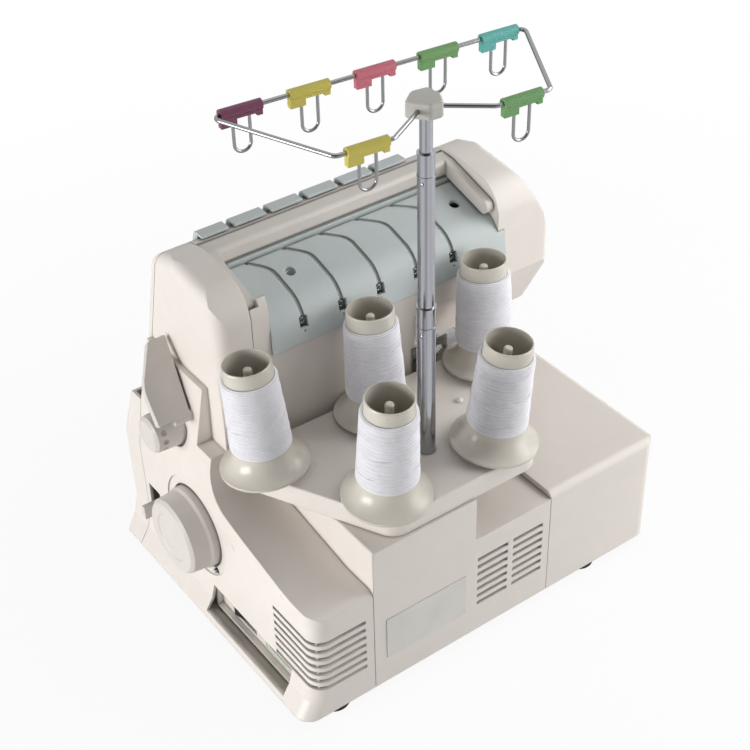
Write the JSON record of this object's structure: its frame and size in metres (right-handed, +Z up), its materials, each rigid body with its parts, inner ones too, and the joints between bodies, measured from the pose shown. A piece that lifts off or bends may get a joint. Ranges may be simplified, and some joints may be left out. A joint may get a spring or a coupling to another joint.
{
  "type": "overlock sewing machine",
  "caption": "Overlock sewing machine with cone thread stand, telescopic guide mast, handwheel, lift lever, fold-down looper door and carrying handle.",
  "frame": {"origin": "centre of the bounding box's footprint, on the floor under the feet", "axes": "+Z up, +X towards the handwheel (operator's right), -Y towards the operator, +Y towards the spools"},
  "size_m": [0.35, 0.2765, 0.4415],
  "materials": {
    "casing_white": "satin moulded",
    "handle_cream": "satin moulded",
    "control_white": "satin moulded",
    "teal_plastic": "satin moulded",
    "dial_grey": "satin",
    "cone_cream": "satin moulded",
    "thread_white": "wound thread",
    "pin_cream": "satin moulded",
    "tube_chrome": "polished",
    "cap_grey": "satin moulded",
    "wire_chrome": "polished",
    "clip_plum": "gloss moulded",
    "clip_yellow": "gloss moulded",
    "clip_pink": "gloss moulded",
    "clip_green": "gloss moulded",
    "clip_teal": "gloss moulded",
    "plate_silver": "brushed, blank",
    "bracket_steel": "plated",
    "rocker_black": "gloss",
    "inlet_green": "satin",
    "foot_rubber": "matt",
    "pan_steel": "grey painted",
    "frame_cast": "cast",
    "motor_dark": "dark painted",
    "tool_steel": "ground"
  },
  "bodies": {
    "housing": {"base_pan": "pan_steel", "rubber_feet": "foot_rubber", "side_casing": "casing_white", "column_cover": "casing_white", "rating_plate": "plate_silver", "bed_cover": "casing_white", "tower_casing": "casing_white", "head_casing": "casing_white", "front_panel": "casing_white", "tension_panel": "teal_plastic", "thread_cover": "teal_plastic", "groove_eyelets": "wire_chrome", "spool_tray": "casing_white", "spool_pins": "pin_cream", "mast_lower_tube": "tube_chrome", "stand_bracket": "bracket_steel", "inlet_socket": "inlet_green", "machine_frame": "frame_cast", "drive_motor": "motor_dark", "needle_plate": "tool_steel"},
    "door": {"looper_cover": "casing_white"},
    "handle": {"carrying_handle": "handle_cream"},
    "mast_middle": {"mast_middle_tube": "tube_chrome"},
    "mast_top": {"mast_top_tube": "tube_chrome"},
    "guide_head": {"mast_cap": "cap_grey", "guide_rail": "wire_chrome", "guide_clip_plum": "clip_plum", "guide_clips_yellow": "clip_yellow", "guide_clip_pink": "clip_pink", "guide_clips_green": "clip_green", "guide_clip_teal": "clip_teal", "guide_loops": "wire_chrome"},
    "wheel": {"handwheel": "control_white", "main_shaft": "tool_steel"},
    "stitch_knob": {"stitch_length_knob": "control_white"},
    "lifter": {"presser_lifter": "control_white"},
    "presser": {"presser_bar": "tool_steel", "presser_foot": "tool_steel"},
    "differential": {"differential_lever": "control_white"},
    "rocker": {"power_rocker": "rocker_black"},
    "needle": {"needle_bar": "tool_steel"},
    "feed": {"feed_dogs": "tool_steel"},
    "looper_up": {"upper_looper": "tool_steel"},
    "looper_low": {"lower_looper": "tool_steel"},
    "knife": {"upper_knife": "tool_steel"},
    "dial_1": {"tension_dial_1": "dial_grey"},
    "spool_1": {"spool_cone_1": "cone_cream", "thread_winding_1": "thread_white"},
    "dial_2": {"tension_dial_2": "dial_grey"},
    "spool_2": {"spool_cone_2": "cone_cream", "thread_winding_2": "thread_white"},
    "dial_3": {"tension_dial_3": "dial_grey"},
    "spool_3": {"spool_cone_3": "cone_cream", "thread_winding_3": "thread_white"},
    "dial_4": {"tension_dial_4": "dial_grey"},
    "spool_4": {"spool_cone_4": "cone_cream", "thread_winding_4": "thread_white"},
    "dial_5": {"tension_dial_5": "dial_grey"},
    "spool_5": {"spool_cone_5": "cone_cream", "thread_winding_5": "thread_white"}
  },
  "joints": [
    {"name": "looper_cover_hinge", "type": "hinge", "parent": "housing", "child": "door", "pos_m": [0.05, -0.1298, 0.0112], "axis": [1, 0, 0], "range_deg": [0, 75]},
    {"name": "tension_dial_1_turn", "type": "hinge", "parent": "housing", "child": "dial_1", "pos_m": [0.0534, -0.098, 0.246], "axis": [1, 0, 0], "range_deg": [0, 300]},
    {"name": "tension_dial_2_turn", "type": "hinge", "parent": "housing", "child": "dial_2", "pos_m": [0.0212, -0.098, 0.246], "axis": [1, 0, 0], "range_deg": [0, 300]},
    {"name": "tension_dial_3_turn", "type": "hinge", "parent": "housing", "child": "dial_3", "pos_m": [-0.011, -0.098, 0.246], "axis": [1, 0, 0], "range_deg": [0, 300]},
    {"name": "tension_dial_4_turn", "type": "hinge", "parent": "housing", "child": "dial_4", "pos_m": [-0.0432, -0.098, 0.246], "axis": [1, 0, 0], "range_deg": [0, 300]},
    {"name": "tension_dial_5_turn", "type": "hinge", "parent": "housing", "child": "dial_5", "pos_m": [-0.0754, -0.098, 0.246], "axis": [1, 0, 0], "range_deg": [0, 300]},
    {"name": "handle_fold", "type": "hinge", "parent": "housing", "child": "handle", "pos_m": [-0.01, -0.018, 0.2675], "axis": [-1, 0, 0], "range_deg": [0, 90]},
    {"name": "spool_1_spin", "type": "hinge", "parent": "housing", "child": "spool_1", "pos_m": [0.1195, 0.026, 0.1635], "axis": [0.0523, -0.0697, 0.9962], "continuous": true},
    {"name": "spool_2_spin", "type": "hinge", "parent": "housing", "child": "spool_2", "pos_m": [0.0195, 0.026, 0.1635], "axis": [0, -0.0698, 0.9976], "continuous": true},
    {"name": "spool_3_spin", "type": "hinge", "parent": "housing", "child": "spool_3", "pos_m": [-0.084, 0.026, 0.1635], "axis": [-0.0175, -0.0697, 0.9974], "continuous": true},
    {"name": "spool_4_spin", "type": "hinge", "parent": "housing", "child": "spool_4", "pos_m": [0.0697, 0.1055, 0.1635], "axis": [0, 0.061, 0.9981], "continuous": true},
    {"name": "spool_5_spin", "type": "hinge", "parent": "housing", "child": "spool_5", "pos_m": [-0.0272, 0.1055, 0.1635], "axis": [-0.0698, 0.0609, 0.9957], "continuous": true},
    {"name": "mast_middle_slide", "type": "slide", "parent": "housing", "child": "mast_middle", "axis": [0, 0, 1], "range_m": [-0.085, 0]},
    {"name": "mast_top_slide", "type": "slide", "parent": "mast_middle", "child": "mast_top", "axis": [0, 0, 1], "range_m": [-0.02, 0]},
    {"name": "guide_head_swivel", "type": "hinge", "parent": "mast_top", "child": "guide_head", "pos_m": [0.016, 0.081, 0.435], "axis": [0, 0, 1], "continuous": true},
    {"name": "handwheel_turn", "type": "hinge", "parent": "housing", "child": "wheel", "pos_m": [0.16, -0.029, 0.081], "axis": [1, 0, 0], "continuous": true},
    {"name": "stitch_knob_turn", "type": "hinge", "parent": "housing", "child": "stitch_knob", "pos_m": [0.157, -0.059, 0.158], "axis": [1, 0, 0], "range_deg": [0, 300]},
    {"name": "presser_lifter_turn", "type": "hinge", "parent": "housing", "child": "lifter", "pos_m": [0.155, -0.039, 0.178], "axis": [-1, 0, 0], "range_deg": [0, 30]},
    {"name": "presser_bar_slide", "type": "slide", "parent": "housing", "child": "presser", "axis": [0, 0, 1], "range_m": [0, 0.0058]},
    {"name": "differential_lever_turn", "type": "hinge", "parent": "housing", "child": "differential", "pos_m": [0.145, -0.065, 0.05], "axis": [1, 0, 0], "range_deg": [-20, 20]},
    {"name": "power_rocker_tilt", "type": "hinge", "parent": "housing", "child": "rocker", "pos_m": [0.1427, 0.023, 0.0225], "axis": [0, 0, -1], "range_deg": [0, 16]},
    {"name": "needle_bar_slide", "type": "slide", "parent": "housing", "child": "needle", "axis": [0, 0, 1], "range_m": [-0.014, 0.01]},
    {"name": "feed_dogs_slide", "type": "slide", "parent": "housing", "child": "feed", "axis": [0, 1, 0], "range_m": [-0.003, 0.003]},
    {"name": "upper_looper_swing", "type": "hinge", "parent": "housing", "child": "looper_up", "pos_m": [-0.066, -0.073, 0.062], "axis": [0, 1, 0], "range_deg": [-13, 13]},
    {"name": "lower_looper_swing", "type": "hinge", "parent": "housing", "child": "looper_low", "pos_m": [-0.134, -0.064, 0.056], "axis": [0, 1, 0], "range_deg": [-13, 13]},
    {"name": "upper_knife_slide", "type": "slide", "parent": "housing", "child": "knife", "axis": [0, 0, 1], "range_m": [-0.006, 0.006]}
  ],
  "couplings": [
    {"joint": "presser_lifter_turn", "follows": "presser_bar_slide", "rad_per_m": 87.72},
    {"joint": "feed_dogs_slide", "follows": "needle_bar_slide", "ratio": 0.2},
    {"joint": "upper_looper_swing", "follows": "needle_bar_slide", "rad_per_m": 15},
    {"joint": "lower_looper_swing", "follows": "needle_bar_slide", "rad_per_m": -15},
    {"joint": "upper_knife_slide", "follows": "needle_bar_slide", "ratio": 0.4}
  ]
}
